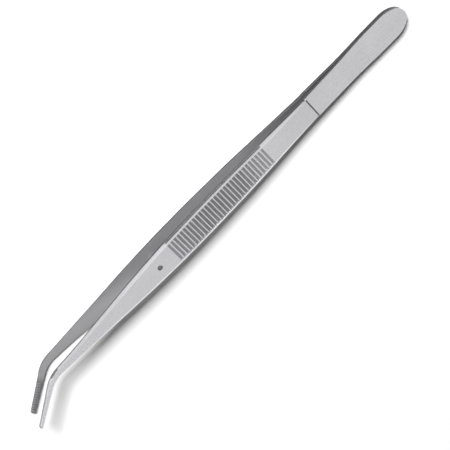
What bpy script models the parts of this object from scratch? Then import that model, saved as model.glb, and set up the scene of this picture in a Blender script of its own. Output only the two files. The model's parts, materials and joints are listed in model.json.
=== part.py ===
"""Steel print tongs: long tweezers with angled, toothed tips, a ribbed grip and a guide pin.

Two mirrored arms are welded together at the butt end and spread like a fork. Each arm is one strip of
stainless steel, lofted here through six-sided sections: a flat outer face with a chamfer along each edge,
square sides and a flat inner face. The thin part between the weld and the shoulder is the spring. It bends
over its whole length, so each arm is split at the middle of its spring, on a hinge that stands for the bend.

The tongs are drawn in a frame of their own: the butt end at x = 0, the tips towards +X and bent towards +Y,
and the plane between the arms at z = 0. They then lie on the flat of the rear arm's grip, with the origin
under the middle of their box.
"""

import math

import bmesh
import bpy
from mathutils import Matrix, Vector

MM = 0.001

# The arm's centre line, in the plane between the arms.
BUTT_ROUND = 8 * MM  # length of the rounded butt end
HINGE_AT = 36 * MM  # middle of the spring
SHOULDER_AT = 48.5 * MM  # step between the spring and the grip
BEND_AT = 183.4 * MM  # corner of the bent tip, before its fillet
BEND_ANGLE = math.radians(34)
BEND_RADIUS = 12 * MM
TIP_LENGTH = 20 * MM  # from that corner to the end
TIP_ROUND = 0.7 * MM

# The grip's flat outer face leans away from the plane between the arms.
GRIP_LEAN = math.radians(1.5)
GRIP_FROM, GRIP_HEIGHT = 70.5 * MM, 4.6 * MM
GRIP_TO = 165 * MM

# Sizes along the arm, as (distance from the butt end, size) in millimetres, on each side of the shoulder.
# Heights are from the plane between the arms to the outer face.
SPRING_HALF_WIDTH = [(0, 5.3), (9, 5.3), (17, 5.25), (24, 4.95), (31.5, 4.7), (48.5, 4.55)]
SPRING_HEIGHT = [(0, 1.5), (18, 1.5), (24, 1.62), (31.5, 1.95), (38.7, 2.28), (48.5, 2.75)]
SPRING_THICKNESS, SPRING_CHAMFER = 1.48 * MM, 0.15 * MM
GRIP_HALF_WIDTH = [
    (48.5, 4.3), (57, 4.5), (70.5, 4.95), (87, 5.45), (103.5, 5.58), (117, 5.45),
    (128, 5.08), (140, 4.42), (154.5, 3.3), (165, 2.48), (176, 1.72), (192, 1.0), (204, 0.7),
]  # fmt: skip
SHOULDER_HEIGHT = [(48.5, 3.1), (57, 3.75), (64, 4.22), (70.5, 4.6)]
BLADE_HEIGHT = [(165, 7.074), (172, 7.2), (186, 7.22), (204, 7.0)]
GRIP_THICKNESS = [(48.5, 1.9), (60, 2.1), (120, 2.1), (154.5, 1.6), (176, 1.35), (190, 1.5), (204, 1.15)]
GRIP_CHAMFER = [(48.5, 0.3), (70.5, 1.0), (130, 1.0), (154.5, 0.86), (172, 0.62), (204, 0.45)]

SHOULDER_RUN = 0.3 * MM  # length of the step itself
HINGE_GAP = 0.3 * MM

RIB_COUNT, RIB_FIRST, RIB_PITCH = 31, 72.4 * MM, 1.595 * MM
RIB_GROOVE_WIDTH, RIB_GROOVE_DEPTH = 0.95 * MM, 0.4 * MM
TOOTH_COUNT, TOOTH_FIRST, TOOTH_PITCH = 12, 190.8 * MM, 1.0 * MM
TOOTH_GROOVE_WIDTH, TOOTH_GROOVE_DEPTH = 0.7 * MM, 0.25 * MM
CUTTER_LENGTH = 16 * MM  # wider than the arm, so that each groove runs right across

PIN_AT = 128.2 * MM
PIN_OFFSET = 0.08 * MM  # towards the butt, which centres the pin in its hole half way through the travel
PIN_RADIUS = 0.7 * MM
PIN_HOLE_RADIUS = 0.95 * MM  # clearance hole in the front arm
PIN_FIT = 0.05 * MM  # round the pin in the rear arm
PIN_BELOW_FACE = 0.8 * MM  # from its end to the front arm's outer face
PIN_RECESS = 0.05 * MM  # from its riveted end to the rear arm's outer face
PIN_EDGE = 0.2 * MM
ROUND_SIDES = 24

STEEL_COLOUR = (0.56, 0.56, 0.58)
PIN_COLOUR = (0.38, 0.38, 0.40)

FRONT, REAR = 1, -1  # sides of the plane between the arms


def smooth_through(points, distance):
    """The value at this distance of a smooth curve through the points, all in millimetres, without overshoot."""
    x = min(max(distance / MM, points[0][0]), points[-1][0])
    slopes = [(b[1] - a[1]) / (b[0] - a[0]) for a, b in zip(points, points[1:])]
    tangents = [slopes[0]]
    for before, after in zip(slopes, slopes[1:]):
        same_way = before * after > 0
        tangents.append(2 * before * after / (before + after) if same_way else 0.0)
    tangents.append(slopes[-1])
    i = max(k for k in range(len(slopes)) if points[k][0] <= x)
    step = points[i + 1][0] - points[i][0]
    t = (x - points[i][0]) / step
    value = (
        (1 + 2 * t) * (1 - t) ** 2 * points[i][1]
        + t * (1 - t) ** 2 * step * tangents[i]
        + t * t * (3 - 2 * t) * points[i + 1][1]
        + t * t * (t - 1) * step * tangents[i + 1]
    )
    return value * MM


FILLET = BEND_RADIUS * math.tan(BEND_ANGLE / 2)
BEND_START = BEND_AT - FILLET
BEND_END = BEND_START + BEND_RADIUS * BEND_ANGLE
ARM_LENGTH = BEND_END + TIP_LENGTH - FILLET


def centre_line(distance):
    """The point on the arm's centre line, and the way it heads there."""
    turned = min(max((distance - BEND_START) / BEND_RADIUS, 0), BEND_ANGLE)
    along = min(distance, BEND_START)
    past = max(distance - BEND_END, 0)
    x = along + BEND_RADIUS * math.sin(turned) + past * math.cos(turned)
    y = BEND_RADIUS * (1 - math.cos(turned)) + past * math.sin(turned)
    return Vector((x, y, 0)), turned


def outer_height(distance):
    """From the plane between the arms to the outer face."""
    if distance < SHOULDER_AT:
        return smooth_through(SPRING_HEIGHT, distance)
    if distance < GRIP_FROM:
        return smooth_through(SHOULDER_HEIGHT, distance)
    if distance < GRIP_TO:
        return GRIP_HEIGHT + (distance - GRIP_FROM) * math.tan(GRIP_LEAN)
    return smooth_through(BLADE_HEIGHT, distance)


def thickness_at(distance):
    return SPRING_THICKNESS if distance < SHOULDER_AT else smooth_through(GRIP_THICKNESS, distance)


def half_width(distance):
    """Half the arm's width, with the butt end and the tip rounded off."""
    width = smooth_through(SPRING_HALF_WIDTH if distance < SHOULDER_AT else GRIP_HALF_WIDTH, distance)
    if distance < BUTT_ROUND:
        width *= math.sqrt(1 - (1 - distance / BUTT_ROUND) ** 2)
    into_tip = (distance - (ARM_LENGTH - TIP_ROUND)) / TIP_ROUND
    if into_tip > 0:
        width *= math.sqrt(max(1 - into_tip**2, 0))
    return width


def section(distance, side):
    """The six corners of the arm's section, in order round it."""
    half = half_width(distance)
    outer = outer_height(distance)
    thickness = thickness_at(distance)
    chamfer = SPRING_CHAMFER if distance < SHOULDER_AT else smooth_through(GRIP_CHAMFER, distance)
    chamfer = min(chamfer, 0.6 * half)
    corners = [
        (-half, outer - thickness),
        (half, outer - thickness),
        (half, outer - chamfer),
        (half - chamfer, outer),
        (chamfer - half, outer),
        (-half, outer - chamfer),
    ]
    centre, heading = centre_line(distance)
    across = Vector((-math.sin(heading), math.cos(heading), 0))
    return [centre + across * y + Vector((0, 0, side * z)) for y, z in corners]


def spaced(start, end, spacing):
    """Distances from start to end, both included, no further apart than the spacing."""
    count = max(1, math.ceil((end - start) / spacing - 1e-6))
    return [start + (end - start) * i / count for i in range(count + 1)]


def butt_stations():
    """Where the butt's sections are: close together round its end."""
    round_end = [BUTT_ROUND * (1 - math.cos(math.radians(a))) for a in range(6, 90, 12)]
    return round_end + spaced(BUTT_ROUND, HINGE_AT - HINGE_GAP / 2, 3 * MM)


def blade_stations():
    """Where the blade's sections are: close together round the bend and the tip."""
    spring = spaced(HINGE_AT + HINGE_GAP / 2, SHOULDER_AT - SHOULDER_RUN / 2, 3 * MM)
    grip = spaced(SHOULDER_AT + SHOULDER_RUN / 2, GRIP_FROM, 3 * MM)
    flat = spaced(GRIP_FROM, GRIP_TO, 3.5 * MM)
    blade = spaced(GRIP_TO, BEND_START, 3 * MM)
    bend = spaced(BEND_START, BEND_END, 0.9 * MM)
    tip = spaced(BEND_END, ARM_LENGTH - TIP_ROUND, 3 * MM)
    round_end = [ARM_LENGTH - TIP_ROUND * (1 - math.sin(math.radians(a))) for a in range(20, 90, 20)]
    return spring + grip + flat[1:] + blade[1:] + bend[1:] + tip[1:] + round_end


def steel(name, colour, roughness):
    material = bpy.data.materials.new(name)
    material.use_nodes = True
    shader = material.node_tree.nodes["Principled BSDF"]
    shader.inputs["Base Color"].default_value = (*colour, 1)
    shader.inputs["Metallic"].default_value = 1.0
    shader.inputs["Roughness"].default_value = roughness
    return material


def object_of(bm, name, collection, pivot):
    """A mesh object of this bmesh, drawn in the tongs' frame and hung on the pivot."""
    bmesh.ops.recalc_face_normals(bm, faces=bm.faces[:])
    mesh = bpy.data.meshes.new(name)
    bm.to_mesh(mesh)
    bm.free()
    made = bpy.data.objects.new(name, mesh)
    collection.objects.link(made)
    made.parent = pivot
    if pivot.parent:
        made.location = -pivot.location
    return made


def loft(stations, side):
    """A closed solid through the arm's sections at these distances."""
    bm = bmesh.new()
    rings = [[bm.verts.new(p) for p in section(distance, side)] for distance in stations]
    for ring, following in zip(rings, rings[1:]):
        for i in range(len(ring)):
            j = (i + 1) % len(ring)
            bm.faces.new((ring[i], ring[j], following[j], following[i]))
    bm.faces.new(rings[0])
    bm.faces.new(rings[-1])
    return bm


def turned_bar(bm, matrix, width, depth):
    """A square bar on edge, whose lower half cuts a V groove of this width and depth."""
    diagonal = math.sqrt(2)
    stretch = Matrix.Diagonal((width / diagonal, CUTTER_LENGTH, 2 * depth / diagonal, 1))
    bmesh.ops.create_cube(bm, size=1, matrix=matrix @ stretch @ Matrix.Rotation(math.radians(45), 4, "Y"))


def face_frame(distance, height, lean, side):
    """The frame of a groove: its X along the arm and its Z out of the face."""
    centre, heading = centre_line(distance)
    place = Matrix.Translation(centre + Vector((0, 0, side * height)))
    return place @ Matrix.Rotation(heading, 4, "Z") @ Matrix.Rotation(-side * lean, 4, "Y")


def groove_cutters(side):
    """The bars that cut the ribs into the outer face, and the teeth into the inner face."""
    bm = bmesh.new()
    for i in range(RIB_COUNT):
        distance = RIB_FIRST + i * RIB_PITCH
        frame = face_frame(distance, outer_height(distance), GRIP_LEAN, side)
        turned_bar(bm, frame, RIB_GROOVE_WIDTH, RIB_GROOVE_DEPTH)
    for i in range(TOOTH_COUNT):
        distance = TOOTH_FIRST + i * TOOTH_PITCH
        height = outer_height(distance) - thickness_at(distance)
        turned_bar(bm, face_frame(distance, height, 0, side), TOOTH_GROOVE_WIDTH, TOOTH_GROOVE_DEPTH)
    return bm


def pin_frame(side):
    """The frame of the pin's hole: its Z square to the face, towards the front."""
    distance = PIN_AT if side == FRONT else PIN_AT - PIN_OFFSET
    place = Matrix.Translation((distance, 0, side * outer_height(distance)))
    return place @ Matrix.Rotation(-side * GRIP_LEAN, 4, "Y")


def hole_cutter(side, radius):
    bm = bmesh.new()
    bmesh.ops.create_cone(
        bm, cap_ends=True, segments=ROUND_SIDES, radius1=radius, radius2=radius,
        depth=8 * MM, matrix=pin_frame(side),
    )  # fmt: skip
    return bm


def cut(piece, bm, name, collection, pivot):
    cutter = object_of(bm, name, collection, pivot)
    cutter.hide_render = True
    cutter.display_type = "WIRE"
    modifier = piece.modifiers.new(name, "BOOLEAN")
    modifier.operation = "DIFFERENCE"
    modifier.solver = "EXACT"
    modifier.object = cutter


def guide_pin(collection, pivot, material):
    """The round pin, all but flush with the rear arm's outer face, with rounded ends."""
    length = 2 * outer_height(PIN_AT) - PIN_BELOW_FACE - PIN_RECESS
    middle = Matrix.Translation((0, 0, PIN_RECESS + length / 2))
    bm = bmesh.new()
    bmesh.ops.create_cone(
        bm, cap_ends=True, segments=ROUND_SIDES, radius1=PIN_RADIUS, radius2=PIN_RADIUS,
        depth=length, matrix=pin_frame(REAR) @ middle,
    )  # fmt: skip
    pin = object_of(bm, "guide_pin", collection, pivot)
    bevel = pin.modifiers.new("rounded ends", "BEVEL")
    bevel.width = PIN_EDGE
    bevel.segments = 2
    bevel.limit_method = "ANGLE"
    pin.data.shade_smooth()
    pin.data.set_sharp_from_angle(angle=math.radians(35))
    pin.data.materials.append(material)


def arm(name, side, hole_radius, parts, cutters, root, material):
    """One arm, as its welded butt on the root and its blade on a hinge in the middle of the spring."""
    hinge = bpy.data.objects.new(f"{name}_hinge", None)
    parts.objects.link(hinge)
    hinge.parent = root
    hinge.location = (HINGE_AT, 0, side * (outer_height(HINGE_AT) - SPRING_THICKNESS / 2))

    butt = object_of(loft(butt_stations(), side), f"{name}_butt", parts, root)
    blade = object_of(loft(blade_stations(), side), f"{name}_blade", parts, hinge)
    for piece in (butt, blade):
        piece.data.materials.append(material)
    cut(blade, groove_cutters(side), f"{name} grooves", cutters, hinge)
    cut(blade, hole_cutter(side, hole_radius), f"{name} pin hole", cutters, hinge)
    return hinge


def stand_on_origin(root, parts):
    """Moves the tongs so that the origin is under the middle of their box."""
    bpy.context.view_layer.update()
    points = [
        piece.matrix_world @ vertex.co
        for piece in parts.objects
        if piece.type == "MESH"
        for vertex in piece.data.vertices
    ]
    low = Vector([min(p[i] for p in points) for i in range(3)])
    high = Vector([max(p[i] for p in points) for i in range(3)])
    root.location = (-(low.x + high.x) / 2, -(low.y + high.y) / 2, -low.z)


def main():
    for existing in list(bpy.data.objects):
        bpy.data.objects.remove(existing, do_unlink=True)
    parts = bpy.data.collections.new("print_tongs")
    cutters = bpy.data.collections.new("cutters")
    for collection in (parts, cutters):
        bpy.context.scene.collection.children.link(collection)

    root = bpy.data.objects.new("tongs_lying_down", None)
    parts.objects.link(root)
    root.rotation_euler = (0, -GRIP_LEAN, 0)

    satin = steel("satin steel", STEEL_COLOUR, 0.38)
    arm("front_arm", FRONT, PIN_HOLE_RADIUS, parts, cutters, root, satin)
    rear_hinge = arm("rear_arm", REAR, PIN_RADIUS + PIN_FIT, parts, cutters, root, satin)
    guide_pin(parts, rear_hinge, steel("pin steel", PIN_COLOUR, 0.3))
    stand_on_origin(root, parts)


main()
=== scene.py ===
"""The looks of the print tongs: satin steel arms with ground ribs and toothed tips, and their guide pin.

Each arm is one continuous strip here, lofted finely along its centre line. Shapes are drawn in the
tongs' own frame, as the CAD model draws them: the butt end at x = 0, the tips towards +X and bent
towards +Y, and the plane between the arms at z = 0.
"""

import json
import math

import bmesh
import bpy
from mathutils import Matrix, Quaternion, Vector


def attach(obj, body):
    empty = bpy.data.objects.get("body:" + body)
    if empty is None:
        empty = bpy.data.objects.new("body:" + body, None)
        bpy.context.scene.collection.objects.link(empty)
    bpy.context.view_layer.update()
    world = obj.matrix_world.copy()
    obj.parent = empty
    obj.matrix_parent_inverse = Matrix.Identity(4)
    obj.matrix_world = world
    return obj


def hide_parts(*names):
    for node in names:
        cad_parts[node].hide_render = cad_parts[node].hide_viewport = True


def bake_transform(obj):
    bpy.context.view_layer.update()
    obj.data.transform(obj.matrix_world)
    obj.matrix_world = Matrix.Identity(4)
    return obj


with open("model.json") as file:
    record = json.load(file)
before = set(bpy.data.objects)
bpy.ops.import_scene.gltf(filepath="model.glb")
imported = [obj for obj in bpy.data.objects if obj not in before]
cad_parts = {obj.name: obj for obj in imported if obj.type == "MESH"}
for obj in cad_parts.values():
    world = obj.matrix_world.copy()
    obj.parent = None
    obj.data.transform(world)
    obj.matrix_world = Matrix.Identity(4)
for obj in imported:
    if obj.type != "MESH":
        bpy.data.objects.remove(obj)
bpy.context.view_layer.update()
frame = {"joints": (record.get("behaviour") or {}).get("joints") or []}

MM = 0.001

# The arm's centre line, as in the CAD model.
BUTT_ROUND = 8 * MM
HINGE_AT = 36 * MM
SHOULDER_AT = 48.5 * MM
BEND_AT = 183.4 * MM
BEND_ANGLE = math.radians(34)
BEND_RADIUS = 12 * MM
TIP_LENGTH = 20 * MM
TIP_ROUND = 0.7 * MM
GRIP_LEAN = math.radians(1.5)
GRIP_FROM, GRIP_HEIGHT = 70.5 * MM, 4.6 * MM
GRIP_TO = 165 * MM

# Sizes along the arm, as (distance from the butt end, size) in millimetres, on each side of the shoulder.
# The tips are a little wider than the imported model's, and the shoulder's step is a little longer.
SPRING_HALF_WIDTH = [(0, 5.3), (9, 5.3), (17, 5.25), (24, 4.95), (31.5, 4.7), (48.5, 4.55)]
SPRING_HEIGHT = [(0, 1.5), (18, 1.5), (24, 1.62), (31.5, 1.95), (38.7, 2.28), (48.5, 2.75)]
SPRING_THICKNESS, SPRING_CHAMFER = 1.48 * MM, 0.15 * MM
GRIP_HALF_WIDTH = [
    (48.5, 4.3), (57, 4.5), (70.5, 4.95), (87, 5.45), (103.5, 5.58), (117, 5.45),
    (128, 5.08), (140, 4.42), (154.5, 3.3), (165, 2.48), (176, 1.72), (192, 1.05), (204, 0.82),
]  # fmt: skip
SHOULDER_HEIGHT = [(48.5, 3.1), (57, 3.75), (64, 4.22), (70.5, 4.6)]
BLADE_HEIGHT = [(165, 7.074), (172, 7.2), (186, 7.22), (204, 7.0)]
GRIP_THICKNESS = [(48.5, 1.9), (60, 2.1), (120, 2.1), (154.5, 1.6), (176, 1.35), (190, 1.5), (204, 1.15)]
GRIP_CHAMFER = [(48.5, 0.3), (70.5, 1.0), (130, 1.0), (154.5, 0.86), (172, 0.62), (204, 0.45)]
SHOULDER_RUN = 0.6 * MM  # along the arm, from the step's lip to its foot
STEP_EDGE = 0.04 * MM  # from the step's lip and foot to the sections on each side of them
LARGEST_CHAMFER = 0.6  # of the half width, where the butt end and the tip round off

# Ribs across the grip and teeth across the jaws. Half a groove's profile is (distance from its middle,
# depth) in millimetres, with a rounded bottom and a rounded lip.
RIB_COUNT, RIB_FIRST, RIB_PITCH = 31, 72.4 * MM, 1.595 * MM
RIB_PROFILE = [(0, 0.4), (0.11, 0.36), (0.4, 0.09), (0.48, 0.02), (0.56, 0)]
RIB_DEPTH = RIB_PROFILE[0][1] * MM
RIB_SPREAD = [(72.4, 0.85), (80, 0.95), (88, 1.05), (104, 1.05), (114, 1.0), (120.3, 0.9)]
RIB_MARGIN = 0.08 * MM  # from the flat's edge to a groove's end
RIB_RUN_OUT = 0.15 * MM  # from a groove's end to its full depth
LEAST_END, LEAST_BOTTOM = 0.8, 0.5  # of the flat's half width, where it is too narrow for those two
JAW_FROM = 189 * MM
TOOTH_COUNT, TOOTH_FIRST, TOOTH_PITCH = 12, 190.8 * MM, 1.0 * MM
TOOTH_PROFILE = [(0, 0.12), (0.07, 0.12), (0.33, 0.02), (0.4, 0)]

EDGE_ROUND = 0.11 * MM  # how far each long edge's rounding reaches from the edge
LARGEST_ROUND = 0.3  # of the shorter of the two faces that meet there
EDGE_SHADE_REACH = 0.9  # how far the painted edge shade reaches, as a share of that rounding
WELD_TO, WELDED_ROUND = 20 * MM, 0.05  # the share of the rounding that the weld leaves
INSIDE_SHADE_FADES = (26 * MM, 80 * MM)  # over this stretch the painted shade on the inner faces fades out from the weld
INNER_CORNERS, SHADED_EDGE_CORNERS, CRISP_CORNERS = (0, 9), (1, 8), (2, 3, 6, 7)  # of a section's ten; painted shade darkens the rounded edges at the second set
CLOSE = 0.01 * MM  # nearer than this, a point lies on the edge it is compared with

# How closely the arm's sections follow each other.
LONG_SPACING, BEND_SPACING = 1.5 * MM, 0.3 * MM
BUTT_TURN, TIP_TURN = 4, 8  # degrees round each rounded end
CUT_CLEARANCE = 0.1 * MM  # from a row of grooves to the first section of the smooth arm

PIN_AT = 128.2 * MM
PIN_OFFSET = 0.08 * MM  # towards the butt, as in the CAD model
PIN_RADIUS, PIN_HOLE_RADIUS = 0.7 * MM, 0.95 * MM
PIN_BELOW_FACE = 0.8 * MM  # from its free end to the front arm's outer face
PIN_FIT = 0.01 * MM  # round the riveted head
PIN_HEAD_DROP, PIN_HEAD_FLAT, PIN_HEAD_ROUND = 0.02 * MM, 0.45 * MM, 0.06 * MM
PIN_END_FLAT, PIN_END_ROUND = 0.3 * MM, 0.25 * MM
HOLE_LIP = 0.05 * MM  # countersink round each mouth of the hole
HOLE_PAST = 1 * MM  # from the arm's faces to the ends of the hole's cutter
ROUND_SIDES = 48
ARM_CREASE, PIN_CREASE = 32, 40  # degrees, from which an edge is shaded sharp

FRONT, REAR = 1, -1

# The steel's colour in each place: its finishes, and painted shade and a painted dark reflection where
# noted.
SATIN, SATIN_BRIGHT = (0.72, 0.715, 0.745, 1), (0.76, 0.755, 0.78, 1)
GRIND_LINE = (0.66, 0.655, 0.685, 1)
# Inner faces: painted shade between the arms, deepest at the weld end and lighter towards the tips.
INSIDE_SHADED, INSIDE_BRIGHT = (0.15, 0.145, 0.16, 1), (0.60, 0.60, 0.61, 1)
# The edge colour is painted shade on the rounded edges between flanks and bevels, which dims their
# highlight.
JAW, EDGE_SHADE = (0.46, 0.46, 0.47, 1), (0.55, 0.55, 0.56, 1)
# The flanks' colour is a painted dark reflection: near-black, as the sides look when they mirror dark
# surroundings.
# The recess colour is painted shade in the grooves between the ribs and on the shoulder's step.
FLANK_DARK_REFLECTION, RECESS_SHADE = (0.06, 0.06, 0.065, 1), (0.40, 0.40, 0.42, 1)
# The pin's colours are painted shade: dark, for a pin that stands deep in its hole and between the arms,
# with random spots between the two.
PIN_SHADE_DARK, PIN_SHADE_PALE = (0.30, 0.30, 0.31, 1), (0.36, 0.36, 0.37, 1)
FLOOR_COLOUR = (0.9, 0.9, 0.9, 1)

FLOOR_SIZE, FLOOR_DROP = 6, 0.2 * MM  # dropped, so that it stays clear of the arm that lies on it

# Soft lamps as (name, place, width, height, power), in metres and watts. All face the tongs' middle.
LAMPS = [
    ("key", (0.0, -2.01, 2.23), 0.6, 0.8, 133),  # throws the shadow away from the gap
    ("fill", (0.0, 1.45, 2.62), 2.6, 1.1, 8.2),  # mirrored in the front arm's outer face
    ("bevel strip", (0.4, -2.6, 1.4), 3.4, 0.6, 4.9),  # mirrored in its long bevel over the gap
    ("tip strip", (2.3, -1.67, 0.98), 1.6, 0.9, 4.1),  # mirrored in that bevel past the bend
]
SKY_STRENGTH = 0.045

# The camera: a long lens that looks down on the front arm from the side of the gap. Its aim is measured
# from the floor under the middle of the tongs.
CAMERA_AIM = Vector((0.6, 4.6, 9.6)) * MM
CAMERA_AZIMUTH, CAMERA_ELEVATION = math.radians(-2.2), math.radians(61.03)
CAMERA_ROLL = math.radians(137.2)
CAMERA_DISTANCE = 623.4 * MM
CAMERA_ANGLE = math.radians(14.91)


def smooth_through(points, distance):
    """The value here of a smooth curve through the points, which are in millimetres, without overshoot."""
    x = min(max(distance / MM, points[0][0]), points[-1][0])
    slopes = [(b[1] - a[1]) / (b[0] - a[0]) for a, b in zip(points, points[1:])]
    tangents = [slopes[0]]
    for before, after in zip(slopes, slopes[1:]):
        same_way = before * after > 0
        tangents.append(2 * before * after / (before + after) if same_way else 0.0)
    tangents.append(slopes[-1])
    i = max(k for k in range(len(slopes)) if points[k][0] <= x)
    step = points[i + 1][0] - points[i][0]
    t = (x - points[i][0]) / step
    value = (
        (1 + 2 * t) * (1 - t) ** 2 * points[i][1]
        + t * (1 - t) ** 2 * step * tangents[i]
        + t * t * (3 - 2 * t) * points[i + 1][1]
        + t * t * (t - 1) * step * tangents[i + 1]
    )
    return value * MM


FILLET = BEND_RADIUS * math.tan(BEND_ANGLE / 2)
BEND_START = BEND_AT - FILLET
BEND_END = BEND_START + BEND_RADIUS * BEND_ANGLE
ARM_LENGTH = BEND_END + TIP_LENGTH - FILLET


def centre_line(distance):
    """The point on the arm's centre line, and the way it heads there."""
    heading = min(max((distance - BEND_START) / BEND_RADIUS, 0), BEND_ANGLE)
    along = min(distance, BEND_START)
    past = max(distance - BEND_END, 0)
    x = along + BEND_RADIUS * math.sin(heading) + past * math.cos(heading)
    y = BEND_RADIUS * (1 - math.cos(heading)) + past * math.sin(heading)
    return Vector((x, y, 0)), heading


def along_and_across(point):
    """The inverse of centre_line: a point's distance along the arm, and how far it is from the line."""
    x, y = point.x - BEND_START, point.y
    if x <= 0:
        return point.x, y
    heading = math.atan2(x, BEND_RADIUS - y)
    if heading <= BEND_ANGLE:
        return BEND_START + heading * BEND_RADIUS, BEND_RADIUS - math.hypot(x, BEND_RADIUS - y)
    start, _ = centre_line(BEND_END)
    x, y = point.x - start.x, point.y - start.y
    cos, sin = math.cos(BEND_ANGLE), math.sin(BEND_ANGLE)
    return BEND_END + x * cos + y * sin, y * cos - x * sin


def outer_height(distance):
    """From the plane between the arms to the outer face."""
    if distance < SHOULDER_AT:
        return smooth_through(SPRING_HEIGHT, distance)
    if distance < GRIP_FROM:
        return smooth_through(SHOULDER_HEIGHT, distance)
    if distance < GRIP_TO:
        return GRIP_HEIGHT + (distance - GRIP_FROM) * math.tan(GRIP_LEAN)
    return smooth_through(BLADE_HEIGHT, distance)


def thickness_at(distance):
    return SPRING_THICKNESS if distance < SHOULDER_AT else smooth_through(GRIP_THICKNESS, distance)


def chamfer_at(distance):
    return SPRING_CHAMFER if distance < SHOULDER_AT else smooth_through(GRIP_CHAMFER, distance)


def half_width(distance):
    """Half the arm's width, with the butt end and the tip rounded off."""
    width = smooth_through(SPRING_HALF_WIDTH if distance < SHOULDER_AT else GRIP_HALF_WIDTH, distance)
    if distance < BUTT_ROUND:
        width *= math.sqrt(1 - (1 - distance / BUTT_ROUND) ** 2)
    into_tip = (distance - (ARM_LENGTH - TIP_ROUND)) / TIP_ROUND
    if into_tip > 0:
        width *= math.sqrt(max(1 - into_tip**2, 0))
    return width


def groove_depth(distance, count, first, pitch, profile, spread=1.0):
    """How deep the nearest groove of a row is cut at this distance."""
    nearest = min(max(round((distance - first) / pitch), 0), count - 1)
    offset = abs(distance - first - nearest * pitch) / MM / spread
    for (x0, depth0), (x1, depth1) in zip(profile, profile[1:]):
        if x0 <= offset <= x1:
            return (depth0 + (depth1 - depth0) * (offset - x0) / (x1 - x0)) * MM
    return 0.0


def rib_spread(distance):
    """How much wider than its profile the groove here is: the row's middle is worn wider."""
    return smooth_through(RIB_SPREAD, distance) / MM


def rib_depth(distance):
    return groove_depth(distance, RIB_COUNT, RIB_FIRST, RIB_PITCH, RIB_PROFILE, rib_spread(distance))


def tooth_depth(distance):
    return groove_depth(distance, TOOTH_COUNT, TOOTH_FIRST, TOOTH_PITCH, TOOTH_PROFILE)


def corners_at(distance):
    """The ten corners (across, height) of the front arm's section, in order round it.

    Four lie within the flat: where a groove between ribs ends, and where it has its full depth.
    """
    half = half_width(distance)
    outer = outer_height(distance)
    inner = outer - thickness_at(distance) + tooth_depth(distance)
    chamfer = min(chamfer_at(distance), LARGEST_CHAMFER * half)
    edge = half - chamfer
    groove_end = max(edge - RIB_MARGIN, LEAST_END * edge)
    bottom = max(groove_end - RIB_RUN_OUT, LEAST_BOTTOM * edge)
    right = [(half, inner), (half, outer - chamfer), (edge, outer), (groove_end, outer)]
    right.append((bottom, outer - rib_depth(distance)))
    return [Vector(p) for p in right + [(-across, height) for across, height in reversed(right)]]


def reach_round(corners, i):
    """How far the rounding of one corner reaches from it."""
    before, after = corners[i - 1] - corners[i], corners[(i + 1) % len(corners)] - corners[i]
    return min(EDGE_ROUND, LARGEST_ROUND * before.length, LARGEST_ROUND * after.length)


def rounded(corners, distance):
    """The section's outline, with three points round each corner but for the crisp ones round the flat.

    At the weld the inner corners are hardly rounded, so that no groove shows between the arms.
    """
    outline = []
    opened = min(max((distance - WELD_TO) / WELD_TO, WELDED_ROUND), 1)
    for i, corner in enumerate(corners):
        if i in CRISP_CORNERS:
            outline.append(corner)
            continue
        reach = reach_round(corners, i) * (opened if i in INNER_CORNERS else 1)
        first = corner.lerp(corners[i - 1], reach / (corners[i - 1] - corner).length)
        following = corners[(i + 1) % len(corners)]
        last = corner.lerp(following, reach / (following - corner).length)
        outline += [first, corner.lerp((first + last) / 2, 0.5), last]
    return outline


def spaced(start, end, spacing):
    """Distances from start to end, both included, no further apart than the spacing."""
    count = max(1, math.ceil((end - start) / spacing - 1e-6))
    return [start + (end - start) * i / count for i in range(count + 1)]


def groove_stations(count, first, pitch, profile, spread):
    """Where a row of grooves needs sections: at each point of each groove's profile, on both its sides."""
    middles = [first + i * pitch for i in range(count)]
    steps = [-x * MM for x, _ in reversed(profile[1:])] + [x * MM for x, _ in profile]
    return [middle + step * spread(middle) for middle in middles for step in steps]


def stations():
    """Where the arm's sections are: close together at its ends, the shoulder, the bend and every groove."""
    butt = [BUTT_ROUND * (1 - math.cos(math.radians(a))) for a in range(2, 90, BUTT_TURN)]
    lip = SHOULDER_AT - SHOULDER_RUN / 2
    foot = SHOULDER_AT + SHOULDER_RUN / 2
    spring = spaced(BUTT_ROUND, lip - EDGE_ROUND, LONG_SPACING)
    step = [edge + way * STEP_EDGE for edge in (lip, foot) for way in (-1, 1)]
    grip = spaced(foot + EDGE_ROUND, BEND_START, LONG_SPACING)
    bend = spaced(BEND_START, BEND_END, BEND_SPACING)[1:]
    tip = spaced(BEND_END, ARM_LENGTH - TIP_ROUND, LONG_SPACING)[1:]
    round_tip = [ARM_LENGTH - TIP_ROUND * (1 - math.sin(math.radians(a))) for a in range(8, 90, TIP_TURN)]
    smooth = butt + spring + step + grip + bend + tip + round_tip

    ribs = groove_stations(RIB_COUNT, RIB_FIRST, RIB_PITCH, RIB_PROFILE, rib_spread)
    teeth = groove_stations(TOOTH_COUNT, TOOTH_FIRST, TOOTH_PITCH, TOOTH_PROFILE, lambda _: 1.0)
    rows = [(row[0] - CUT_CLEARANCE, row[-1] + CUT_CLEARANCE) for row in (ribs, teeth)]
    clear = [s for s in smooth if not any(low < s < high for low, high in rows)]
    return sorted(clear + ribs + teeth)


# From the tongs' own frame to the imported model's, which is tilted to lie on the rear arm's grip.
hinge_own = Vector((HINGE_AT, 0, outer_height(HINGE_AT) - SPRING_THICKNESS / 2))
hinge_place = Vector(next(j["pos_m"] for j in frame["joints"] if j["child"] == "front_arm"))
tilt = Matrix.Rotation(-GRIP_LEAN, 4, "Y")
TO_ROW = Matrix.Translation(hinge_place - tilt @ hinge_own) @ tilt


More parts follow.
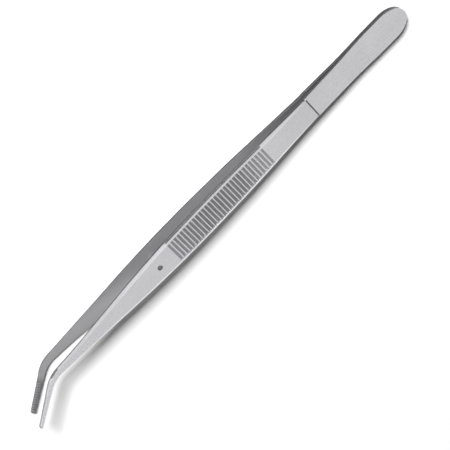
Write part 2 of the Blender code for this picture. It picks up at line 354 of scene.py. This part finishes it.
def object_of(bm, name):
    """A mesh object of this bmesh, moved from the tongs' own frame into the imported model's."""
    bmesh.ops.recalc_face_normals(bm, faces=bm.faces[:])
    mesh = bpy.data.meshes.new(name)
    bm.to_mesh(mesh)
    bm.free()
    mesh.transform(TO_ROW)
    made = bpy.data.objects.new(name, mesh)
    bpy.context.scene.collection.objects.link(made)
    return made


def loft(side):
    """The arm as a closed surface through its sections."""
    bm = bmesh.new()
    rings = []
    for distance in stations():
        centre, heading = centre_line(distance)
        across = Vector((-math.sin(heading), math.cos(heading), 0))
        outline = rounded(corners_at(distance), distance)
        rings.append([bm.verts.new(centre + across * y + Vector((0, 0, side * z))) for y, z in outline])
    for ring, following in zip(rings, rings[1:]):
        for i in range(len(ring)):
            j = (i + 1) % len(ring)
            bm.faces.new((ring[i], ring[j], following[j], following[i]))
    bm.faces.new(rings[0])
    bm.faces.new(rings[-1])
    return bm


def turned(bm, profile, place):
    """A round solid from its profile of (radius, height), which starts and ends on the axis."""
    angles = [2 * math.pi * k / ROUND_SIDES for k in range(ROUND_SIDES)]
    rings = []
    for radius, height in profile:
        points = [Vector((radius * math.cos(a), radius * math.sin(a), height)) for a in angles]
        shown = points if radius > 0 else points[:1]
        rings.append([bm.verts.new(place @ point) for point in shown])
    for ring, following in zip(rings, rings[1:]):
        for k in range(ROUND_SIDES):
            quad = [ring[k % len(ring)], ring[(k + 1) % len(ring)]]
            quad += [following[(k + 1) % len(following)], following[k % len(following)]]
            bm.faces.new(list(dict.fromkeys(quad)))  # a triangle where a ring is one point on the axis


def pin_frame(side):
    """The frame of the pin's hole: its Z square to the face, towards the front."""
    distance = PIN_AT if side == FRONT else PIN_AT - PIN_OFFSET
    place = Matrix.Translation((distance, 0, side * outer_height(distance)))
    return place @ Matrix.Rotation(-side * GRIP_LEAN, 4, "Y")


def hole_cutter(side, radius):
    """The pin's hole through one arm, with a small countersink at each mouth."""
    wall = thickness_at(PIN_AT)
    outer, inner = (0, -wall) if side == FRONT else (wall, 0)
    wide = radius + HOLE_LIP + HOLE_PAST
    profile = [
        (0, inner - HOLE_PAST), (wide, inner - HOLE_PAST), (radius, inner + HOLE_LIP),
        (radius, outer - HOLE_LIP), (wide, outer + HOLE_PAST), (0, outer + HOLE_PAST),
    ]  # fmt: skip
    bm = bmesh.new()
    turned(bm, profile, pin_frame(side))
    return object_of(bm, "hole cutter")


def cut_hole(arm, side, radius):
    """Cuts the pin's hole into the arm's mesh for good."""
    cutter = hole_cutter(side, radius)
    modifier = arm.modifiers.new("hole", "BOOLEAN")
    modifier.operation = "DIFFERENCE"
    modifier.solver = "EXACT"
    modifier.object = cutter
    bpy.context.view_layer.update()
    graph = bpy.context.evaluated_depsgraph_get()
    uncut = arm.data
    arm.data = bpy.data.meshes.new_from_object(arm.evaluated_get(graph))
    arm.modifiers.clear()
    bpy.data.objects.remove(cutter)
    bpy.data.meshes.remove(uncut)


def surface_at(point, side):
    """What the material reads at a point of an arm: its place in the grain, and masks for its finish and
    its painted shade there.
    """
    distance, across = along_and_across(point)
    height = side * point.z
    corners = corners_at(distance)
    inner, bevel_foot, flat_edge, groove_end = corners[:4]
    place = Vector((across, height))
    # How far the painted edge shade reaches round each of its corners.
    reaches = {i: EDGE_SHADE_REACH * reach_round(corners, i) for i in SHADED_EDGE_CORNERS}
    on_edge = max(1 - (place - corners[i]).length / reach for i, reach in reaches.items())
    outer_side = height > outer_height(distance) - thickness_at(distance) / 2
    at_step = abs(distance - SHOULDER_AT) < SHOULDER_RUN / 2
    in_groove = abs(across) < groove_end.x - CLOSE
    beyond_flat = abs(across) > flat_edge.x - CLOSE
    return {
        "grain": (distance, across, point.z),
        "edge": max(0.0, on_edge),
        "recess": max(rib_depth(distance) / RIB_DEPTH * in_groove, at_step) if outer_side else 0.0,
        "bevel": float(beyond_flat and height > bevel_foot.y - CLOSE),
        "inside": float(height < inner.y + CLOSE),
        "jaw": float(distance > JAW_FROM and not outer_side),
        "flank": float(abs(across) > inner.x - CLOSE),
    }


def mark_surface(arm, side):
    """Stores what the material reads as attributes of the mesh's points."""
    to_own = TO_ROW.inverted()
    marks = [surface_at(to_own @ vertex.co, side) for vertex in arm.data.vertices]
    for name, first in marks[0].items():
        if isinstance(first, tuple):
            made = arm.data.attributes.new(name, "FLOAT_VECTOR", "POINT")
            made.data.foreach_set("vector", [value for mark in marks for value in mark[name]])
        else:
            made = arm.data.attributes.new(name, "FLOAT", "POINT")
            made.data.foreach_set("value", [mark[name] for mark in marks])


def shade(piece, degrees):
    """Smooth shading that keeps its creases, with the large faces' normals kept flat."""
    piece.data.shade_smooth()
    piece.data.set_sharp_from_angle(angle=math.radians(degrees))
    weighted = piece.modifiers.new("flat faces", "WEIGHTED_NORMAL")
    weighted.keep_sharp = True


def arm(name, side, hole_radius, material):
    """One arm from the butt end to the tip."""
    body = f"{name}_arm"
    made = object_of(loft(side), body)
    cut_hole(made, side, hole_radius)
    mark_surface(made, side)
    made.data.materials.append(material)
    shade(made, ARM_CREASE)
    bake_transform(made)
    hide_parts(f"{body}_butt", f"{body}_blade")


def guide_pin(material):
    """The wire pin: a rounded free end, and a riveted head that fills its hole in the rear arm."""
    length = 2 * outer_height(PIN_AT) - PIN_BELOW_FACE
    profile = [
        (0, PIN_HEAD_DROP), (PIN_HEAD_FLAT, PIN_HEAD_DROP),
        (PIN_RADIUS - PIN_FIT, PIN_HEAD_DROP + PIN_HEAD_ROUND),
    ]  # fmt: skip
    for turn in (math.radians(a) for a in range(0, 90, 15)):
        inward, down = PIN_END_ROUND * (1 - math.cos(turn)), PIN_END_ROUND * (1 - math.sin(turn))
        profile.append((PIN_RADIUS - inward, length - down))
    profile += [(PIN_END_FLAT, length), (0, length)]
    bm = bmesh.new()
    turned(bm, profile, pin_frame(REAR))
    made = object_of(bm, "guide_pin_wire")
    made.data.materials.append(material)
    shade(made, PIN_CREASE)
    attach(made, "rear_arm")
    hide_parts("guide_pin")


class Nodes:
    """Short calls that build a material's node tree."""

    def __init__(self, material):
        material.use_nodes = True
        self.tree = material.node_tree
        self.shader = self.tree.nodes["Principled BSDF"]

    def add(self, kind, inputs=(), **settings):
        node = self.tree.nodes.new(kind)
        for key, value in settings.items():
            setattr(node, key, value)
        for key, value in dict(inputs).items():
            self.link(value, node.inputs[key])
        return node

    def link(self, value, socket):
        if isinstance(value, bpy.types.NodeSocket):
            self.tree.links.new(value, socket)
        else:
            socket.default_value = value

    def attribute(self, name):
        return self.add("ShaderNodeAttribute", attribute_name=name)

    def noise(self, vector, scale, stretch=(1, 1, 1), detail=3.0):
        """Noise with this many features a metre, drawn out by the stretch."""
        mapping = self.add("ShaderNodeMapping", {"Vector": vector, "Scale": [scale / s for s in stretch]})
        inputs = {"Vector": mapping.outputs[0], "Scale": 1.0, "Detail": detail}
        return self.add("ShaderNodeTexNoise", inputs).outputs["Fac"]

    def map_range(self, value, low, high, to_low, to_high):
        inputs = {"Value": value, "From Min": low, "From Max": high, "To Min": to_low, "To Max": to_high}
        return self.add("ShaderNodeMapRange", inputs).outputs[0]

    def math(self, operation, first, second):
        return self.add("ShaderNodeMath", {0: first, 1: second}, operation=operation).outputs[0]

    def mix(self, factor, first, second):
        node = self.add("ShaderNodeMix", data_type="RGBA")
        for value, index in ((factor, 0), (first, 6), (second, 7)):
            self.link(value, node.inputs[index])
        return node.outputs[2]


def satin_colour(nodes, grain, mark, lines):
    """Satin with brighter patches, grind lines and darker jaws; the rest is painted shade and reflection.
    """
    patches = nodes.noise(grain, 90, stretch=(2, 1, 1))
    along = nodes.add("ShaderNodeSeparateXYZ", {0: grain}).outputs["X"]
    # Painted shade on the inner faces, deepest near the weld, where the arms close in on each other.
    inner = nodes.mix(nodes.map_range(along, *INSIDE_SHADE_FADES, 0, 1), INSIDE_SHADED, INSIDE_BRIGHT)
    colour = nodes.mix(nodes.map_range(patches, 0.35, 0.65, 0, 1), SATIN, SATIN_BRIGHT)
    colour = nodes.mix(nodes.map_range(lines, 0.3, 0.7, 0, 0.3), colour, GRIND_LINE)
    colour = nodes.mix(mark["inside"], colour, inner)
    colour = nodes.mix(mark["jaw"], colour, JAW)
    # Painted shade on the rounded edges by the flanks, dimming their highlight.
    colour = nodes.mix(nodes.math("MULTIPLY", mark["edge"], 0.5), colour, EDGE_SHADE)
    # Painted dark reflection on the flanks.
    colour = nodes.mix(mark["flank"], colour, FLANK_DARK_REFLECTION)
    # Painted shade in the grooves and on the shoulder's step.
    return nodes.mix(nodes.math("MULTIPLY", mark["recess"], 0.08), colour, RECESS_SHADE)


def satin_roughness(nodes, mark, lines, specks):
    """Finest on the bevels, coarser inside the arms, in the grooves and on the rounded edges."""
    streaked = nodes.map_range(lines, 0.3, 0.7, 0.25, 0.28)
    rough = nodes.math("ADD", streaked, nodes.map_range(specks, 0.4, 0.6, -0.015, 0.015))
    for name, change in {"inside": 0.22, "bevel": -0.12, "edge": 0.35, "recess": 0.12}.items():
        rough = nodes.math("ADD", rough, nodes.math("MULTIPLY", mark[name], change))
    return rough


def satin_steel():
    """Stainless steel with a fine satin grind along the arm."""
    material = bpy.data.materials.new("satin steel")
    nodes = Nodes(material)
    grain = nodes.attribute("grain").outputs["Vector"]
    names = ("edge", "recess", "bevel", "inside", "jaw", "flank")
    mark = {name: nodes.attribute(name).outputs["Fac"] for name in names}
    lines = nodes.noise(grain, 9000, stretch=(60, 1, 1), detail=4.0)
    specks = nodes.noise(grain, 3500, detail=2.0)
    relief = nodes.math("ADD", lines, nodes.math("MULTIPLY", specks, 0.4))
    bump = nodes.add("ShaderNodeBump", {"Strength": 0.1, "Distance": 0.004 * MM, "Height": relief})

    nodes.link(satin_colour(nodes, grain, mark, lines), nodes.shader.inputs["Base Color"])
    nodes.link(satin_roughness(nodes, mark, lines, specks), nodes.shader.inputs["Roughness"])
    nodes.link(bump.outputs[0], nodes.shader.inputs["Normal"])
    nodes.shader.inputs["Metallic"].default_value = 1.0
    return material


def pin_steel():
    """Drawn wire in painted shade, darker than the arms, as it stands deep in its hole and between the
    arms: fine lines along the pin, and spots.
    """
    material = bpy.data.materials.new("pin steel")
    nodes = Nodes(material)
    place = nodes.add("ShaderNodeTexCoord").outputs["Object"]
    lines = nodes.noise(place, 6000, stretch=(1, 1, 12))
    spots = nodes.noise(place, 1500)
    # Painted shade over the whole pin, varied by random spots.
    colour = nodes.mix(nodes.map_range(spots, 0.4, 0.6, 0, 1), PIN_SHADE_DARK, PIN_SHADE_PALE)
    nodes.link(colour, nodes.shader.inputs["Base Color"])
    nodes.link(nodes.map_range(lines, 0.3, 0.7, 0.60, 0.70), nodes.shader.inputs["Roughness"])
    bump = nodes.add("ShaderNodeBump", {"Strength": 0.2, "Distance": 0.003 * MM, "Height": lines})
    nodes.link(bump.outputs[0], nodes.shader.inputs["Normal"])
    nodes.shader.inputs["Metallic"].default_value = 1.0
    return material


def floor():
    """A plain, pale, matt floor."""
    bpy.ops.mesh.primitive_plane_add(size=FLOOR_SIZE)
    made = bpy.context.object
    made.name = "floor"
    made.location.z = -FLOOR_DROP
    material = bpy.data.materials.new("pale floor")
    material.use_nodes = True
    shader = material.node_tree.nodes["Principled BSDF"]
    shader.inputs["Base Color"].default_value = FLOOR_COLOUR
    shader.inputs["Roughness"].default_value = 0.9
    made.data.materials.append(material)


def lamp(name, place, width, height, power):
    """A rectangular soft light that faces the middle of the tongs, its width along them."""
    light = bpy.data.lights.new(name, "AREA")
    light.shape = "RECTANGLE"
    light.energy = power
    light.size, light.size_y = width, height
    made = bpy.data.objects.new(name, light)
    made.location = place
    made.rotation_euler = (-Vector(place)).to_track_quat("-Z", "Y").to_euler()
    bpy.context.scene.collection.objects.link(made)


def sky(strength):
    """Even white light from all round."""
    world = bpy.data.worlds.new("studio")
    world.use_nodes = True
    background = world.node_tree.nodes["Background"]
    background.inputs["Color"].default_value = (1, 1, 1, 1)
    background.inputs["Strength"].default_value = strength
    bpy.context.scene.world = world


def camera():
    """The camera at its azimuth and elevation round its aim, rolled so that the tongs lie on a diagonal."""
    up, flat = math.sin(CAMERA_ELEVATION), math.cos(CAMERA_ELEVATION)
    back = Vector((math.sin(CAMERA_AZIMUTH) * flat, -math.cos(CAMERA_AZIMUTH) * flat, up))
    data = bpy.data.cameras.new("camera")
    data.angle = CAMERA_ANGLE
    data.clip_start, data.clip_end = 0.01, 20
    made = bpy.data.objects.new("camera", data)
    made.location = CAMERA_AIM + back * CAMERA_DISTANCE
    made.rotation_euler = ((-back).to_track_quat("-Z", "Y") @ Quaternion((0, 0, 1), CAMERA_ROLL)).to_euler()
    bpy.context.scene.collection.objects.link(made)
    bpy.context.scene.camera = made


steel = satin_steel()
arm("front", FRONT, PIN_HOLE_RADIUS, steel)
arm("rear", REAR, PIN_RADIUS, steel)
guide_pin(pin_steel())

floor()
for settings in LAMPS:
    lamp(*settings)
sky(SKY_STRENGTH)
camera()
bpy.context.scene.view_settings.view_transform = "Standard"
